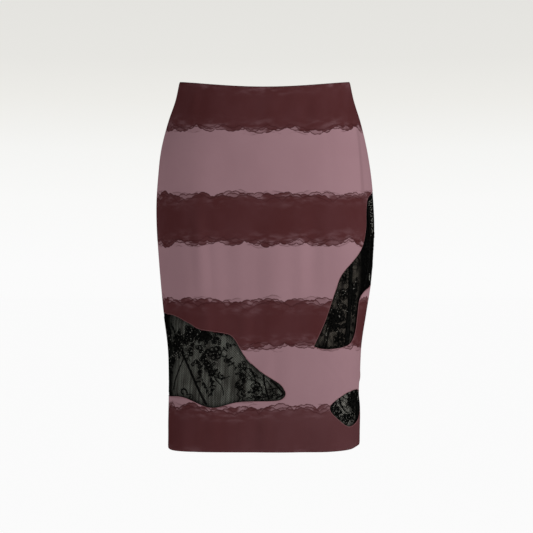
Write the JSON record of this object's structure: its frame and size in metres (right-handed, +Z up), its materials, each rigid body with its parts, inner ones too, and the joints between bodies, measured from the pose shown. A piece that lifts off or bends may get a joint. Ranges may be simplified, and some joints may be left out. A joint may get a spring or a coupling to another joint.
{
  "type": "pencil skirt",
  "caption": "Knee-length pencil skirt with wide soft-edged stripes and black lace behind curved windows, filled out as worn and open at waist and hem.",
  "frame": {"origin": "middle of the waist opening, level with the top of the side seams", "axes": "+Z up out of the waist, -Y out of the front, +X to the right as seen from the front"},
  "size_m": [0.3567, 0.2476, 0.5931],
  "materials": {
    "striped_cloth": "fine matt jersey in wide burgundy and mauve stripes",
    "black_lace": "black floral lace",
    "dark_underlay": "plain matt dark grey backing"
  },
  "bodies": {
    "root": {"front_panel": "striped_cloth", "back_panel": "striped_cloth", "lace_left": "black_lace", "lace_right": "black_lace", "lace_small": "black_lace", "underlay_left": "dark_underlay", "underlay_right": "dark_underlay", "underlay_small": "dark_underlay"}
  },
  "joints": []
}
